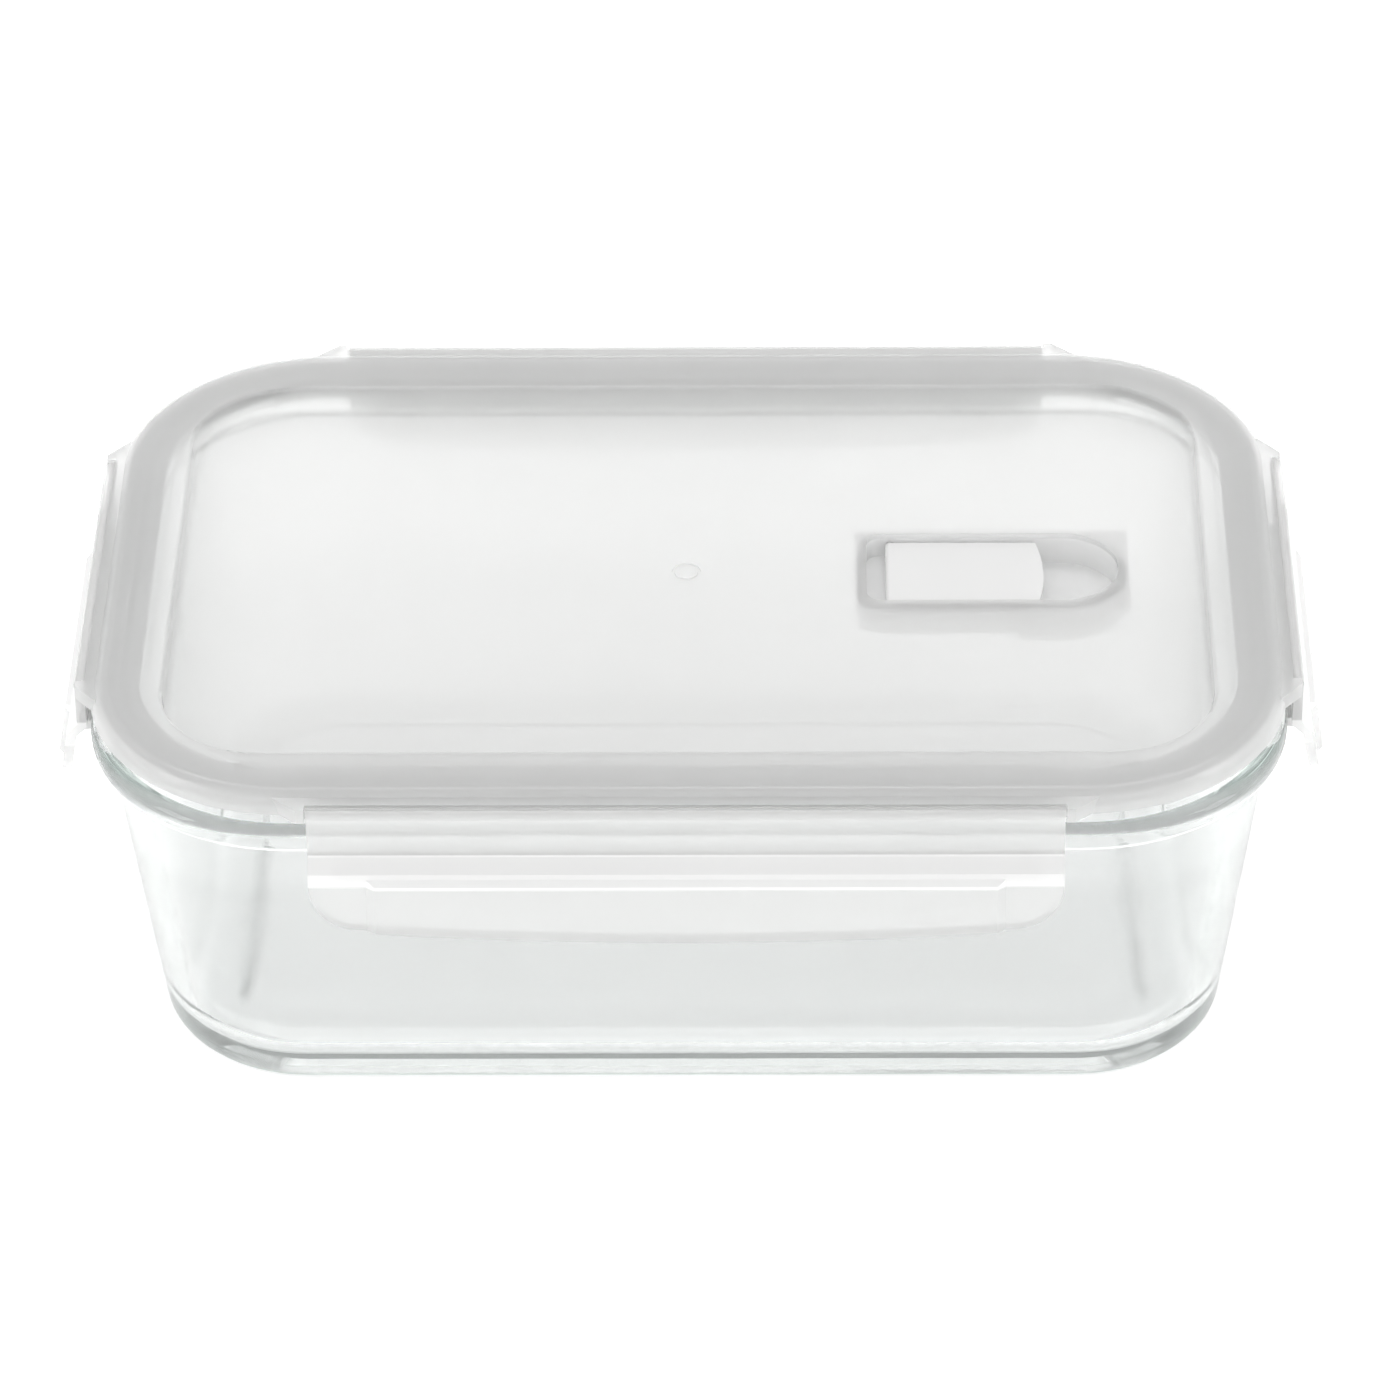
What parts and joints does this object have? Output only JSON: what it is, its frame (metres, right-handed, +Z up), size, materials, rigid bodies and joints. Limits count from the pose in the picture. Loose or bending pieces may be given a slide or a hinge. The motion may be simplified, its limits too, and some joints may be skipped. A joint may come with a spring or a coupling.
{
  "type": "glass food container",
  "caption": "Rectangular clear glass food container with a frosted snap-lock lid, hinged latches, silicone gasket and a steam-vent flap.",
  "frame": {"origin": "centre of the footprint, on the surface the dish stands on", "axes": "+X along the long side towards the vent flap, +Y towards the back latch, +Z up"},
  "size_m": [0.2168, 0.1484, 0.0699],
  "materials": {
    "glass": "polished",
    "polypropylene": "frosted translucent",
    "silicone": "satin translucent"
  },
  "bodies": {
    "dish": {"glass_dish": "glass"},
    "lid": {"lid_panel": "polypropylene", "gasket": "silicone", "hinge_web_front": "polypropylene", "hinge_web_back": "polypropylene", "hinge_web_left": "polypropylene", "hinge_web_right": "polypropylene"},
    "latch_front": {"latch_front": "polypropylene"},
    "latch_back": {"latch_back": "polypropylene"},
    "latch_left": {"latch_left": "polypropylene"},
    "latch_right": {"latch_right": "polypropylene"},
    "vent": {"vent_flap": "polypropylene", "vent_plug": "silicone"}
  },
  "joints": [
    {"name": "lid_lift", "type": "slide", "parent": "dish", "child": "lid", "axis": [0, 0, 1], "range_m": [0, 0.09]},
    {"name": "front_latch_hinge", "type": "hinge", "parent": "lid", "child": "latch_front", "pos_m": [0, -0.0684, 0.0676], "axis": [-1, 0, 0], "range_deg": [0, 120]},
    {"name": "back_latch_hinge", "type": "hinge", "parent": "lid", "child": "latch_back", "pos_m": [0, 0.0684, 0.0676], "axis": [1, 0, 0], "range_deg": [0, 120]},
    {"name": "left_latch_hinge", "type": "hinge", "parent": "lid", "child": "latch_left", "pos_m": [-0.1026, 0, 0.0676], "axis": [0, 1, 0], "range_deg": [0, 120]},
    {"name": "right_latch_hinge", "type": "hinge", "parent": "lid", "child": "latch_right", "pos_m": [0.1026, 0, 0.0676], "axis": [0, -1, 0], "range_deg": [0, 120]},
    {"name": "vent_flap_hinge", "type": "hinge", "parent": "lid", "child": "vent", "pos_m": [0.0344, 0.00545, 0.0626], "axis": [0, -1, 0], "range_deg": [0, 95]}
  ]
}
